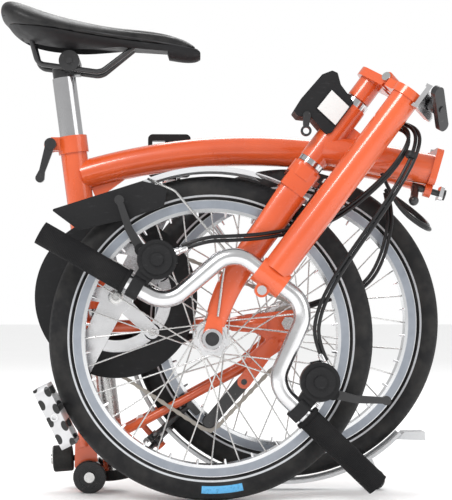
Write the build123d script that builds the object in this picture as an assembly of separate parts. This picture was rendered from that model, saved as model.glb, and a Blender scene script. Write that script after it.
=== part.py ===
from build123d import *
from math import asin, cos, degrees, pi, radians, sin, sqrt
import os

# A folding bicycle in its folded state, in millimetres.
# +X runs from the saddle towards the folded hinge, +Z is up, and -Y is the side that the
# front wheel folds to. The rear wheel and main frame lie in the plane Y = 0.

# wheels, 37-349 tyres
WHEEL_R = 209.5
TYRE_R = 17.5
TYRE_WALL = 3.0
RIM_OUTER = 178.5
RIM_INNER = 163.0
RIM_HALF = 12.0
SPOKES = 28
SPOKE_R = 1.0
FRONT_AXLE = Vector(-23, -115, WHEEL_R)
REAR_AXLE = Vector(81, 0, 228)
FRONT_HUB_HALF = 36.0
REAR_HUB_HALF = 50.0

# main frame
TUBE_R = 20.0
ARCH_R = 800.0
ARCH_TOP = Vector(35, 0, 462)
BRACKET = Vector(-148, 0, 263)
PIVOT = Vector(-206, 0, 222)
SEAT_LEAN = 7.5
SEAT_TUBE_R = 18.0
POST_R = 15.9
SLIDE_GAP = 0.05
TURN_GAP = 0.05
PIN_GAP = 0.05

# main hinge: its pin leans back and lies midway between the two folded halves
HINGE = Vector(271, -57.5, 430)
HINGE_LEAN = 16.0
HINGE_ARM = 57.5
FLANGE_T = 9.0
FLANGE_HALF = 24.0
KNUCKLE_R = 9.0
KNUCKLE_HALF = 8.0
HINGE_PIN_R = 4.5

# steering axis, and the folded handlepost beside it
CROWN = Vector(102, -115, 431)
STEER = Vector(0.6, 0, 0.8)
ACROSS = Vector(0.8, 0, -0.6)
NEAR = Vector(0, -1, 0)
HEAD_TUBE_R = 18.0
STEERER_R = 12.0
POST_ACROSS = 45.0
POST_NEAR = 60.0
STEM_HEIGHT = 148.0
STEM_PLATE_T = 12.0
JAW_SWEEP_R = 60.5
BAR_R = 11.0
BAR_DROP = 108.0
BAR_HALF = 262.0
GRIP_R = 15.0
GRIP_LENGTH = 122.0

# cranks
CRANK = 170.0
CRANK_ANGLE = -116.1
CHAIN_Y = -45.0
RING_R = 88.0
GUARD_R = 108.0
PEDAL_T = 20.0

# the floor rollers
ROLLER_R = 22.0
REAR_ROLLERS = Vector(-184, 0, ROLLER_R)
GUARD_ROLLER_R = 14.0
GUARD_ROLLER = Vector(203, 0, GUARD_ROLLER_R)

ORIGIN_SHIFT = Vector(6.25, 69.777, 0)

SEAT_UP = Vector(-sin(radians(SEAT_LEAN)), 0, cos(radians(SEAT_LEAN)))
SEAT_LOW = Vector(-181.3, 0, 263)
HINGE_UP = Vector(sin(radians(HINGE_LEAN)), 0, cos(radians(HINGE_LEAN)))
HINGE_OUT = Vector(cos(radians(HINGE_LEAN)), 0, -sin(radians(HINGE_LEAN)))


# ---------------------------------------------------------------- helpers


def side(y):
    """The side view's plane at y: its x is +X, its y is +Z, and it faces -Y."""
    return Plane(origin=(0, y, 0), x_dir=(1, 0, 0), z_dir=(0, -1, 0))


def slab(sketch, y_far, y_near):
    """A side-view outline, thickened from y_far to y_near."""
    return extrude(side(y_far) * sketch, amount=y_far - y_near, dir=(0, -1, 0))


def outline(points, r=0.0):
    """A closed outline through side-view points, its corners rounded to r."""
    face = Polygon(*points, align=None)
    return fillet(face.vertices(), r) if r else face


def rod(a, b, r):
    """A round bar from a to b."""
    a, b = Vector(a), Vector(b)
    return Plane(origin=(a + b) / 2, z_dir=b - a) * Cylinder(r, (b - a).length)


def pipe(a, b, r, bore):
    return rod(a, b, r) - rod(a - (b - a).normalized(), b + (b - a).normalized(), bore)


def disc(centre, r, y_far, y_near, bore=0.0):
    """A round plate about a side-view centre, from y_far to y_near."""
    face = Circle(r) - Circle(bore) if bore else Circle(r)
    return slab(Pos(centre.X, centre.Z) * face, y_far, y_near)


def bent(points, radii, r):
    """A round bar along straight runs joined by arcs."""
    path = FilletPolyline(*points, radius=radii)
    return sweep(Plane(origin=path @ 0, z_dir=path % 0) * Circle(r), path=path)


def link(a, ra, b, rb, y_far, y_near):
    """A flat link whose ends are round, of radius ra at a and rb at b."""
    ends = (Pos(a.X, a.Z) * Circle(ra)).edges() + (Pos(b.X, b.Z) * Circle(rb)).edges()
    return slab(make_hull(ends), y_far, y_near)


def turned(profile, centre, span=360.0):
    """A profile of (radius, offset towards -Y) turned about an axle along Y."""
    shape = revolve(Plane.XZ * profile, axis=Axis.Z, revolution_arc=span)
    return Plane(origin=centre, x_dir=(1, 0, 0), z_dir=(0, -1, 0)) * shape


def ring_of(radius, width, r_in, r_out, offset=0.0):
    """The section of a ring, from r_in to r_out, width wide."""
    return Pos((r_in + r_out) / 2, offset) * Rectangle(r_out - r_in, width)


def along(a, b, share):
    return a + (b - a) * share


# ---------------------------------------------------------------- wheels


def tyre(axle):
    """A tyre's rubber shell, open at the rim, with its tread blocks cut as shallow grooves."""
    middle = WHEEL_R - TYRE_R
    skin = Pos(middle, 0) * (Circle(TYRE_R) - Circle(TYRE_R - TYRE_WALL))
    above_rim = Pos(RIM_OUTER + 50, 0) * Rectangle(100, 60)
    return turned(skin & above_rim, axle)


def rim(axle):
    """A box-section alloy rim with a well for the tyre."""
    depth = RIM_OUTER - RIM_INNER
    face = ring_of(0, 2 * RIM_HALF, RIM_INNER, RIM_OUTER)
    well = Pos(RIM_OUTER - 2.5, 0) * Rectangle(5, 2 * RIM_HALF - 4)
    cavity = Pos(RIM_INNER + depth * 0.35, 0) * Rectangle(depth * 0.4, 2 * RIM_HALF - 5)
    return turned(face - well - cavity, axle)


def hub(axle, half, flange_r, body_r, axle_r):
    """A hub shell with two spoke flanges, bored to run on its axle."""
    shell = turned(ring_of(0, 2 * half, axle_r + TURN_GAP, body_r), axle)
    for y in (-half + 6, half - 6):
        shell += turned(ring_of(0, 3, body_r - 1, flange_r, y), axle)
    return shell


def rear_hub():
    """The gear hub with its sprocket."""
    body = hub(REAR_AXLE, 41, 30, 21, 5)
    body += turned(ring_of(0, 7, 5 + TURN_GAP, 14, 44.5), REAR_AXLE)
    return body + turned(ring_of(0, 3, 12, 23.4, 45), REAR_AXLE)


def spokes(axle, half, flange_r):
    """Crossed spokes from the two flanges to the rim, each a separate bar."""
    bars = []
    for i in range(SPOKES):
        rim_turn = 2 * pi * i / SPOKES
        lead = radians(62) if i % 4 < 2 else radians(-62)
        y = (half - 6) * (1 if i % 2 else -1)
        flange = Vector(cos(rim_turn + lead), 0, sin(rim_turn + lead)) * (flange_r - 3)
        far = Vector(cos(rim_turn), 0, sin(rim_turn)) * (RIM_INNER - 0.1)
        start = axle + flange + Vector(0, y + (2.7 if i % 2 else -2.7), 0)
        bars.append(rod(start, axle + far + Vector(0, 2.5 if i % 2 else -2.5, 0), SPOKE_R))
    return Compound(children=bars)


def wheel_axle(axle, half, r, nut_r, ear):
    """An axle with a nut outside each dropout."""
    reach = half + ear + 9
    shape = rod(axle + Vector(0, reach, 0), axle - Vector(0, reach, 0), r)
    nut = Pos(axle.X, axle.Z) * RegularPolygon(nut_r, 6)
    for s in (-1, 1):
        middle = axle.Y + s * (half + ear + 3.6)
        shape += slab(nut, middle + 3.5, middle - 3.5)
    return shape


# ---------------------------------------------------------------- main frame


def hinge_half(root, knuckle):
    """One flange of the main hinge: a plate square to the tube, with arms to its knuckles.

    root is the tube's plane (its Y), and knuckle lists the stretches of the pin it holds."""
    sign = 1 if root > HINGE.Y else -1
    frame = Plane(origin=HINGE, x_dir=HINGE_OUT, z_dir=HINGE_UP)
    arm = HINGE_ARM + 22 - KNUCKLE_R - 0.7
    middle = sign * (KNUCKLE_R + 0.7 + arm / 2)
    plate = frame * Pos(-FLANGE_T / 2 - 0.3, middle, 0) * Box(FLANGE_T, arm, 2 * FLANGE_HALF)
    edges = plate.edges().filter_by(Axis((0, 0, 0), HINGE_OUT))
    plate = fillet(edges, 8)
    for low, high in knuckle:
        span = high - low
        barrel = frame * Pos(0, 0, (low + high) / 2) * Cylinder(KNUCKLE_R, span)
        reach = KNUCKLE_R + 12
        web = Box(FLANGE_T, reach, span)
        plate += barrel
        plate += frame * Pos(-FLANGE_T / 2 - 0.3, sign * reach / 2, (low + high) / 2) * web
    bore = frame * Cylinder(HINGE_PIN_R + PIN_GAP, 4 * FLANGE_HALF)
    return plate - bore


def arch_angle(x):
    """The main tube's arc angle at x, from the arch's top."""
    return degrees(asin((x - ARCH_TOP.X) / ARCH_R))


def main_frame():
    """Seat tube, arched main tube, bracket shell and the two hinge housings, welded."""
    centre = ARCH_TOP - Vector(0, 0, ARCH_R)
    start, end = arch_angle(-196), arch_angle(264)
    arc = side(0) * (Pos(centre.X, centre.Z) * CenterArc((0, 0), ARCH_R, 90 - end, end - start))
    tube = sweep(Plane(origin=arc @ 0, z_dir=arc % 0) * Circle(TUBE_R), path=arc)
    seat_top = SEAT_LOW + SEAT_UP * 200
    seat_bottom = SEAT_LOW - SEAT_UP * 16
    frame = tube + rod(seat_bottom, seat_top, SEAT_TUBE_R)
    frame += rod(BRACKET - NEAR * 34, BRACKET + NEAR * 34, 19)
    frame += rod(PIVOT - NEAR * 24.6, PIVOT + NEAR * 24.6, 11)
    frame += slab(outline([(-214, 232), (-196, 218), (-150, 250), (-150, 285), (-199, 290)], 4), 14, -14)
    frame += slab(outline([(-176, 395), (-196, 440), (-120, 436)]), 4, -4)
    spread = (KNUCKLE_HALF + 0.2, FLANGE_HALF)
    frame += hinge_half(0, [spread, (-spread[1], -spread[0])])
    frame -= rod(SEAT_LOW - SEAT_UP * 60, SEAT_LOW + SEAT_UP * 260, POST_R + SLIDE_GAP)
    frame -= rod(BRACKET - NEAR * 40, BRACKET + NEAR * 40, 15.5)
    frame -= rod(PIVOT - NEAR * 40, PIVOT + NEAR * 40, 5 + PIN_GAP)
    return frame


def bottom_bracket_cups():
    """Two bearing cups in the bracket shell."""
    cups = [pipe(BRACKET + NEAR * (s * 20), BRACKET + NEAR * (s * 35.5), 15.5, 8.5 + TURN_GAP)
            for s in (-1, 1)]
    return Compound(children=cups)


def main_hinge_pin():
    reach = FLANGE_HALF + 2
    pin = rod(HINGE - HINGE_UP * reach, HINGE + HINGE_UP * reach, HINGE_PIN_R)
    for s in (-1, 1):
        pin += rod(HINGE + HINGE_UP * (s * reach), HINGE + HINGE_UP * (s * (reach + 3)), 7.5)
    return pin


def rear_pivot_bolt():
    bolt = rod(PIVOT - NEAR * 41.4, PIVOT + NEAR * 41.4, 5)
    for s in (-1, 1):
        bolt += rod(PIVOT + NEAR * (s * 41.3), PIVOT + NEAR * (s * 42.9), 8)
    return bolt


def frame_pins():
    """The main hinge's pin and the rear pivot's bolt."""
    return Compound(children=[main_hinge_pin(), rear_pivot_bolt()])


def seat_clamp():
    """A split collar round the top of the seat tube, with two ears behind it."""
    low, high = SEAT_LOW + SEAT_UP * 197, SEAT_LOW + SEAT_UP * 220
    collar = pipe(low, high, 20.5, POST_R + SLIDE_GAP)
    collar -= rod(low - SEAT_UP * 5, SEAT_LOW + SEAT_UP * 200.1, SEAT_TUBE_R + 0.1)
    mid = SEAT_LOW + SEAT_UP * 209
    for y in (9, -9):
        ear = rod(mid + Vector(-29, y + 3.5, -1), mid + Vector(-29, y - 3.5, -1), 9)
        ear += Pos(mid + Vector(-21, y, 0)) * Box(16, 7, 18)
        collar += ear - rod(mid - Vector(0, 60, 0), mid + Vector(0, 60, 0), 16.2)
    collar -= Pos(mid + Vector(-20, 0, 0)) * Box(16, 3, 40)
    collar -= rod(low - SEAT_UP * 2, high + SEAT_UP * 2, POST_R + SLIDE_GAP)
    collar -= rod(mid + Vector(-29, 40, -1), mid + Vector(-29, -40, -1), 3 + PIN_GAP)
    return collar


def seat_clamp_lever():
    """The quick-release lever and its through bolt."""
    pin = SEAT_LOW + SEAT_UP * 209 + Vector(-29, 0, -1)
    lever = rod(pin + Vector(0, 18, 0), pin - Vector(0, 24, 0), 3)
    lever += rod(pin + Vector(0, 13, 0), pin + Vector(0, 20, 0), 6)
    lever += rod(pin - Vector(0, 13, 0), pin - Vector(0, 24, 0), 8)
    tip = pin + Vector(-14, 0, -46)
    lever += link(pin, 6.5, along(pin, tip, 0.8), 4, -16, -23)
    lever += link(along(pin, tip, 0.8), 4, tip, 6, -15, -24)
    return lever


# ---------------------------------------------------------------- seatpost and saddle


def seatpost():
    low, high = SEAT_LOW - SEAT_UP * 74, SEAT_LOW + SEAT_UP * 300
    return pipe(low, high, POST_R, POST_R - 2)


def seatpost_lower():
    """The post's lower stretch and its rubber foot, which draw up as the rear frame unfolds."""
    low, high = SEAT_LOW - SEAT_UP * 236, SEAT_LOW - SEAT_UP * 74.2
    foot = SEAT_LOW - SEAT_UP * 250
    return Compound(children=[pipe(low, high, POST_R, POST_R - 2), rod(foot, low, POST_R + 1)])


def saddle_clamp():
    """The block that holds the rails on the post, with its bolt and cheek washers."""
    top = SEAT_LOW + SEAT_UP * 300
    block = rod(top + SEAT_UP * 0.1, top + SEAT_UP * 14, 14.5)
    middle = Vector(-212, 0, 581)
    block += rod(middle - NEAR * 17, middle + NEAR * 17, 14)
    block += Pos(middle + Vector(2, 0, -9)) * Box(24, 26, 16)
    for s in (-1, 1):
        cheek = rod(middle + NEAR * (s * 17.3), middle + NEAR * (s * 27), 14)
        cheek -= bent(rail_points(-s), RAIL_BENDS, 3.6)
        block += cheek
    block += rod(middle - NEAR * 31, middle + NEAR * 31, 4)
    return block


RAIL_BENDS = [20, 13]


def rail_points(s):
    """One saddle rail's corners, from the nose to the tail."""
    return [Vector(-122, 13 * s, 604), Vector(-170, 21 * s, 566), Vector(-254, 23 * s, 577),
            Vector(-264, 27 * s, 614)]


def saddle_rails():
    bars = [bent(rail_points(s), RAIL_BENDS, 3.5) for s in (-1, 1)]
    return Compound(children=bars)


SADDLE_STATIONS = [
    (-303, 34, 634, 652), (-290, 62, 622, 662), (-262, 74, 604, 654), (-228, 70, 597, 643),
    (-190, 52, 594, 635), (-150, 34, 594, 629), (-110, 24, 590, 626), (-72, 19, 584, 619),
    (-46, 15, 582, 607), (-35, 8, 586, 597)]


def saddle_body(drop, shrink):
    """The saddle's outer form, lofted through oval stations of half-width, bottom and top."""
    faces = []
    for x, half, low, high in SADDLE_STATIONS:
        z = (low + high) / 2 - drop
        tall = max((high - low) / 2 - shrink, 2)
        station = Plane(origin=(x, 0, z), x_dir=(0, 1, 0), z_dir=(1, 0, 0))
        faces.append(station * Ellipse(half - shrink, tall))
    return loft(faces)


def saddle_cover():
    """The padded top: the upper part of the form."""
    under = outline([(-320, 560), (-320, 634), (-270, 622), (-200, 614), (-30, 600), (-20, 560)])
    return saddle_body(0, 0) - slab(under, 100, -100)


def saddle_base():
    """The moulded shell under the padding."""
    padding = outline([(-320, 700), (-320, 633.8), (-270, 621.8), (-200, 613.8), (-30, 599.8), (-20, 700)])
    shell = saddle_body(0, 0.5) - slab(padding, 100, -100)
    hollow = slab(outline([(-285, 560), (-276, 612), (-200, 604), (-80, 596), (-70, 560)]), 24, -24)
    shell -= hollow
    for s in (-1, 1):
        shell -= bent(rail_points(s), RAIL_BENDS, 3.7)
    return shell


# ---------------------------------------------------------------- front frame


HEAD_LOW = CROWN + STEER * 10
HEAD_HIGH = CROWN + STEER * 98


def front_frame():
    """The head tube, the short front tube and its hinge flange, with the carrier's studs."""
    end = Vector(263, CROWN.Y, 428)
    join = CROWN + STEER * 30
    frame = rod(join, end, TUBE_R) + rod(HEAD_LOW, HEAD_HIGH, HEAD_TUBE_R)
    frame += slab(outline([(150, 490), (128, 440), (205, 420), (215, 440)], 3), CROWN.Y + 5, CROWN.Y - 5)
    frame += hinge_half(CROWN.Y, [(-KNUCKLE_HALF, KNUCKLE_HALF)])
    ear = HINGE - HINGE_UP * 31 + NEAR * HINGE_ARM
    frame += rod(ear - HINGE_OUT * (FLANGE_T + 0.3), ear - HINGE_OUT * 0.3, 9)
    frame -= rod(ear - HINGE_OUT * 40, ear + HINGE_OUT * 30, 4 + PIN_GAP)
    frame -= rod(HEAD_LOW - STEER * 20, HEAD_HIGH + STEER * 20, 15)
    return frame


def headset_cups():
    cups = [pipe(HEAD_LOW - STEER * 7, HEAD_LOW, 17, STEERER_R + TURN_GAP),
            pipe(HEAD_HIGH, HEAD_HIGH + STEER * 9, 17, STEERER_R + TURN_GAP),
            pipe(HEAD_LOW, HEAD_LOW + STEER * 12, 15, STEERER_R + TURN_GAP),
            pipe(HEAD_HIGH - STEER * 12, HEAD_HIGH, 15, STEERER_R + TURN_GAP)]
    return Compound(children=[cups[0] + cups[2], cups[1] + cups[3]])


def carrier_block():
    """The luggage block on the front of the head tube, with its label plate."""
    points = [(82, 502), (88, 495), (106, 493), (124, 472), (131, 474), (141, 488), (160, 513),
              (143, 536), (139, 551), (132, 554), (119, 549), (92, 518)]
    block = slab(outline(points, 2.5), CROWN.Y + 26, CROWN.Y - 20)
    block -= rod(HEAD_LOW, HEAD_HIGH + STEER * 20, HEAD_TUBE_R + 0.4)
    label = slab(outline([(131, 530), (155, 507), (136, 482), (111, 505)], 2), CROWN.Y - 20, CROWN.Y - 22)
    lever_hole = disc(Vector(99, 0, 496), 3.05, CROWN.Y, CROWN.Y - 40)
    return block + label - lever_hole


def carrier_lever():
    """The small release lever under the luggage block, with its pull ring."""
    top = Vector(99, 0, 496)
    y = CROWN.Y - 20.5
    lever = disc(top, 3, CROWN.Y - 6, y - 4)
    lever += link(top, 5, top + Vector(-1, 0, -12), 4, y, y - 4)
    lever += disc(top + Vector(-1, 0, -20), 7, y, y - 4, 4)
    return lever


def hinge_clamp_plate():
    """The clamp's jaw, which laps over the other flange when the frame is unfolded."""
    middle = HINGE - HINGE_UP * 31 + NEAR * HINGE_ARM + HINGE_OUT * 12.5
    frame = Plane(origin=middle, x_dir=HINGE_OUT, z_dir=HINGE_UP)
    plate = frame * Box(5, 26, 18)
    plate = fillet(plate.edges().filter_by(Axis((0, 0, 0), HINGE_OUT)), 4)
    return plate - rod(middle - HINGE_OUT * 10, middle + HINGE_OUT * 10, 4 + PIN_GAP)


def hinge_clamp_lever():
    """The clamp's bolt and its lever."""
    pin = HINGE - HINGE_UP * 31 + NEAR * HINGE_ARM
    lever = rod(pin - HINGE_OUT * 26, pin + HINGE_OUT * 18, 4)
    lever += rod(pin + HINGE_OUT * 15.2, pin + HINGE_OUT * 19, 7)
    lever += rod(pin - HINGE_OUT * 26, pin - HINGE_OUT * 11, 4.9)
    hub_end = pin - HINGE_OUT * 21
    tip = hub_end - HINGE_UP * 20 + NEAR * 22
    lever += rod(hub_end, tip, 5)
    lever += Pos(tip) * Sphere(6.5)
    return lever


# ---------------------------------------------------------------- fork and mudguard

BLADE_SPREAD_TOP = 31.0
BLADE_SPREAD_END = FRONT_HUB_HALF + 3.5
BLADE_LINE = [(82, 398, 19), (53, 358, 18), (34, 331, 17), (13, 300, 16), (-7, 262, 14.5), (-19, 228, 12)]


def fork_blade(s):
    """One fork blade, lofted through ovals down to its dropout."""
    sections = []
    for i, (x, z, half) in enumerate(BLADE_LINE):
        here = Vector(x, 0, z)
        before = BLADE_LINE[max(i - 1, 0)]
        after = BLADE_LINE[min(i + 1, len(BLADE_LINE) - 1)]
        run = Vector(after[0] - before[0], 0, after[1] - before[1])
        share = i / (len(BLADE_LINE) - 1)
        spread = BLADE_SPREAD_TOP + (BLADE_SPREAD_END - BLADE_SPREAD_TOP) * share
        centre = here + Vector(0, CROWN.Y - s * spread, 0)
        thick = 9 - 5 * share
        sections.append(Plane(origin=centre, x_dir=(0, 1, 0), z_dir=run) * Ellipse(thick, half))
    blade = loft(sections)
    end = CROWN.Y - s * BLADE_SPREAD_END
    drop = link(Vector(-20, 0, 232), 10, FRONT_AXLE, 13, end + 3.5, end - 3.5)
    return blade + drop


def fork():
    """Steerer, crown and two blades."""
    body = rod(CROWN - STEER * 8, CROWN + STEER * (STEM_HEIGHT - 26), STEERER_R)
    crown = Plane(origin=CROWN - STEER * 12, x_dir=ACROSS, z_dir=STEER) * Box(40, 84, 17)
    body += fillet(crown.edges().filter_by(Axis((0, 0, 0), STEER)), 14)
    body += rod(CROWN - STEER * 4, CROWN + STEER * 2.4, 17)
    for s in (-1, 1):
        body += fork_blade(s)
        body += Plane(origin=CROWN - STEER * 24 - NEAR * (s * 32), x_dir=ACROSS, z_dir=STEER) * Box(34, 18, 32)
    body -= rod(FRONT_AXLE + NEAR * 60, FRONT_AXLE - NEAR * 60, 4.5)
    return body + brake_stud(FRONT_BRAKE, 24)


def front_axle():
    return wheel_axle(FRONT_AXLE, FRONT_HUB_HALF, 4.5, 9, 7)


def front_mudguard():
    """A curved guard over the near wheel, with a wire stay to the dropout and a side flap."""
    band = guard_band(FRONT_AXLE, 220, 46, 48, 80)
    crown = Plane(origin=CROWN - STEER * 20, x_dir=ACROSS, z_dir=STEER) * Box(98, 90, 60)
    band -= crown - Plane(origin=CROWN - STEER * 20, x_dir=ACROSS, z_dir=STEER) * Box(110, 35, 70)
    near = CROWN.Y
    stay_path = [(-105, near - 22, 414), (-70, near - 30, 398), (-5, near - 45, 320), (-16, near - 45, 238)]
    stay = bent([Vector(*point) for point in stay_path], [14, 14], 1.6)
    flap = outline([(-228, 374), (-112, 411), (-80, 403), (-84, 379), (-128, 363), (-193, 348)], 2)
    return Compound(children=[band, stay, slab(flap, near - 24, near - 26.5)])


# ---------------------------------------------------------------- stem hinge and handlepost

STEM_KNUCKLE = 8.0
STEM_PIN = CROWN + ACROSS * 26.25 + NEAR * 26.25 + STEER * STEM_HEIGHT
STEM = Plane(origin=STEM_PIN, x_dir=ACROSS - NEAR, z_dir=STEER)
STEER_Y = 37.1
POST_X, POST_Y = -10.6, -37.1
BAR_AT = -146.0
BAR_CENTRE = CROWN + ACROSS * POST_ACROSS + NEAR * POST_NEAR + STEER * BAR_AT
BAR_BENDS = [35, 35, 35, 35]


def stem_part(shape, x, y, z):
    """A shape placed in the stem hinge's frame: x along its pin, z along the steering axis."""
    return STEM * Pos(x, y, z) * shape


def stem_leaf(x, y, lugs):
    """One leaf of the stem hinge, round at (x, y) and with lugs at the given stretches of pin."""
    t = STEM_PLATE_T - 0.3
    level = -0.3 - t / 2
    way = 1 if y > 0 else -1
    leaf = stem_part(Cylinder(21, t), x, y, level)
    leaf += stem_part(Box(42, abs(y) - 9, t), x / 2, way * (9 + (abs(y) - 9) / 2), level)
    for low, high in lugs:
        middle, span = (low + high) / 2, high - low
        leaf += stem_part(Box(span, 12, t), middle, way * 6, level)
        leaf += stem_part(Rot(0, 90, 0) * Cylinder(8, span), middle, 0, 0)
    return leaf - stem_part(Rot(0, 90, 0) * Cylinder(4 + PIN_GAP, 90), 0, 0, 0)


def stem_base():
    """The lower leaf of the stem hinge, clamped on the steerer."""
    leaf = stem_leaf(0, STEER_Y, [(STEM_KNUCKLE + 0.2, 21), (-21, -STEM_KNUCKLE - 0.2)])
    leaf += stem_part(Cylinder(15.5, 28), 0, STEER_Y, -STEM_PLATE_T - 13)
    return leaf - rod(CROWN, CROWN + STEER * (STEM_HEIGHT - 26), STEERER_R)


def stem_hinge_pin():
    pin = stem_part(Rot(0, 90, 0) * Cylinder(4, 46), 0, 0, 0)
    for s in (-1, 1):
        pin += stem_part(Rot(0, 90, 0) * Cylinder(6, 2.5), s * 23.2, 0, 0)
    return pin


def handlepost():
    """The handlepost: its hinge leaf, tube and the clamp that holds the bar."""
    leaf = stem_leaf(POST_X, POST_Y, [(-STEM_KNUCKLE, STEM_KNUCKLE)])
    leaf += stem_part(Box(16, 6, 9), 0, -59, -4.8)
    axis = CROWN + ACROSS * POST_ACROSS + NEAR * POST_NEAR
    post = leaf + rod(axis + STEER * (STEM_HEIGHT - 11), axis + STEER * (BAR_AT + 10), 18.5)
    post += rod(BAR_CENTRE - ACROSS * 20, BAR_CENTRE + ACROSS * 20, 17)
    lug = BAR_CENTRE - STEER * 20
    post += rod(lug - NEAR * 9, lug + NEAR * 9, 9)
    post += Plane(origin=BAR_CENTRE - STEER * 13, x_dir=ACROSS, z_dir=STEER) * Box(18, 18, 16)
    post -= rod(BAR_CENTRE - ACROSS * 30, BAR_CENTRE + ACROSS * 30, BAR_R)
    return post - rod(lug - NEAR * 20, lug + NEAR * 20, 3.5)


def bar_point(across, down):
    """A point of the handlebar's plane, from the clamp's centre."""
    return BAR_CENTRE + ACROSS * across - STEER * down


def bar_corners():
    half = [(60, 0), (84, BAR_DROP - 2), (BAR_HALF, BAR_DROP + 20)]
    left = [bar_point(-x, d) for x, d in reversed(half)]
    return left + [bar_point(x, d) for x, d in half]


def handlebar():
    """A bar with a deep upward bow each side of its clamp, which hangs down when folded."""
    lug = BAR_CENTRE - STEER * 20
    bolt = rod(lug - NEAR * 9, lug + NEAR * 9, 3.5) + rod(lug + NEAR * 9, lug + NEAR * 13, 6)
    bar = bent(bar_corners(), BAR_BENDS, BAR_R)
    return Compound(children=[bar, bolt])


def grip_line(s):
    """The outer straight of the bar on one side: its end, and its direction inwards."""
    end = bar_point(s * BAR_HALF, BAR_DROP + 20)
    inward = (bar_point(s * 84, BAR_DROP - 2) - end).normalized()
    return end, inward


def grip(s):
    """A rubber grip over the end of the bar, closed at its end."""
    end, inward = grip_line(s)
    sleeve = rod(end - inward * 3, end + inward * GRIP_LENGTH, GRIP_R)
    sleeve += rod(end + inward * (GRIP_LENGTH - 5), end + inward * GRIP_LENGTH, GRIP_R + 2)
    return sleeve - rod(end, end + inward * (GRIP_LENGTH + 5), BAR_R)


POD_OUT = 128.0
POD_UP = 68.0
LEVER_PIN_OUT = 152.0
LEVER_PIN_UP = 70.0


def lever_bracket(s):
    """A bar clamp with the round shifter housing and the brake lever's bracket."""
    end, inward = grip_line(s)
    seat = end + inward * (GRIP_LENGTH + 12)
    disc_at = bar_point(s * POD_OUT, POD_UP)
    y = BAR_CENTRE.Y
    shape = rod(seat - inward * 8, seat + inward * 8, BAR_R + 4.5)
    shape += link(seat, 9, disc_at, 13, y + 8, y - 8)
    shape += disc(disc_at, 25, y + 8, y - 12)
    shape += disc(disc_at, 19, y - 12, y - 16)
    shape += disc(disc_at, 8, y - 16, y - 19)
    pin = bar_point(s * LEVER_PIN_OUT, LEVER_PIN_UP)
    shape += link(disc_at, 12, pin, 8, y + 12, y + 8)
    shape += link(disc_at, 12, pin, 8, y + 27, y + 23)
    shape += disc(disc_at, 12, y + 27, y)
    barrel = bar_point(s * (POD_OUT - 20), POD_UP - 17)
    shape += rod(disc_at + Vector(0, 6, 0), barrel + Vector(0, 6, 0), 6.5)
    shape -= disc(pin, 3 + PIN_GAP, y + 30, y)
    return shape - rod(end, end + inward * (GRIP_LENGTH + 40), BAR_R)


def brake_lever(s):
    """A brake lever blade and its pivot pin."""
    pin = bar_point(s * LEVER_PIN_OUT, LEVER_PIN_UP)
    y = BAR_CENTRE.Y
    knee = bar_point(s * (LEVER_PIN_OUT + 28), LEVER_PIN_UP - 12)
    tip = bar_point(s * (LEVER_PIN_OUT + 60), LEVER_PIN_UP - 34)
    lever = disc(pin, 3, y + 27, y + 8) + disc(pin, 7, y + 22.7, y + 12.3)
    lever += link(pin, 6, knee, 5, y + 22.7, y + 12.3)
    lever += link(knee, 5, tip, 4, y + 22.7, y + 12.3)
    lever += disc(tip, 6, y + 22.7, y + 12.3)
    return lever


def stem_clamp_plate():
    """The grooved jaw at the stem hinge, hollowed to swing clear of the lower leaf's corner."""
    jaw = Box(36, 15, 34) - Pos(0, 5, 0) * Box(40, 9, 25)
    swept = stem_part(Rot(0, 90, 0) * Cylinder(JAW_SWEEP_R, 44), 0, 0, 0)
    hole = stem_part(Rot(90, 0, 0) * Cylinder(4 + PIN_GAP, 30), 0, -65, 0)
    return stem_part(jaw, 0, -61.7, 0) - swept - hole


def stem_clamp_lever():
    """The clamp's bolt, its boss and its lever."""
    shape = stem_part(Rot(90, 0, 0) * Cylinder(4, 28), 0, -76.2, 0)
    shape += stem_part(Rot(90, 0, 0) * Cylinder(9, 9), 0, -77, 0)
    blade = Box(64, 8, 15)
    blade = fillet(blade.edges().filter_by(Axis.Y), 7)
    shape += stem_part(Rot(0, 28, 0) * blade, 0, -84.5, 0)
    return shape


# ---------------------------------------------------------------- front brake

FRONT_BRAKE = dict(pin=CROWN - STEER * 12 + ACROSS * 34, axis=ACROSS, down=STEER * -1, drop=70.0)
REAR_BRAKE = dict(
    pin=Vector(-97, 0, 70), axis=Vector(0.664, 0, -0.748), down=Vector(0.748, 0, 0.664), drop=67.0)
ARM_BOW = TYRE_R + 9
ARM_R = 3.8


def brake_stud(brake, back):
    """The stud that both caliper arms turn on, brazed to the crown or the bridge."""
    pin, axis = brake["pin"], brake["axis"]
    stud = rod(pin - axis * back, pin + axis * 12, 4)
    return stud + rod(pin + axis * 9.4, pin + axis * 15, 6.5)


def brake_arm(brake, s):
    """One caliper arm, bowed round the tyre on side s, with its pad holder and pad."""
    pin, axis, down = brake["pin"], brake["axis"], brake["down"]
    layer = pin + axis * (s * 4.6)
    out = Vector(0, s * ARM_BOW, 0)
    foot = layer + out + down * brake["drop"]
    arm = bent([layer, layer + out + down * 14, foot], [12], ARM_R)
    arm += bent([layer, layer - out * 0.8 - down * 14, layer - out * 1.3 - down * 12], [8], 3.4)
    arm += rod(layer - axis * 4.4, layer + axis * 4.4, 8)
    pad_y = s * (RIM_HALF + 6.0)
    pad_at = layer + down * brake["drop"] + Vector(0, pad_y, 0)
    pad = Plane(origin=pad_at, x_dir=axis, z_dir=down) * Box(36, 7, 9)
    arm += fillet(pad.edges().filter_by(Axis((0, 0, 0), (0, 1, 0))), 3)
    arm += rod(pad_at, pad_at + Vector(0, s * 15, 0), 4)
    return arm - rod(pin - axis * 30, pin + axis * 30, 4 + PIN_GAP)


# ---------------------------------------------------------------- rear frame

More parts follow.
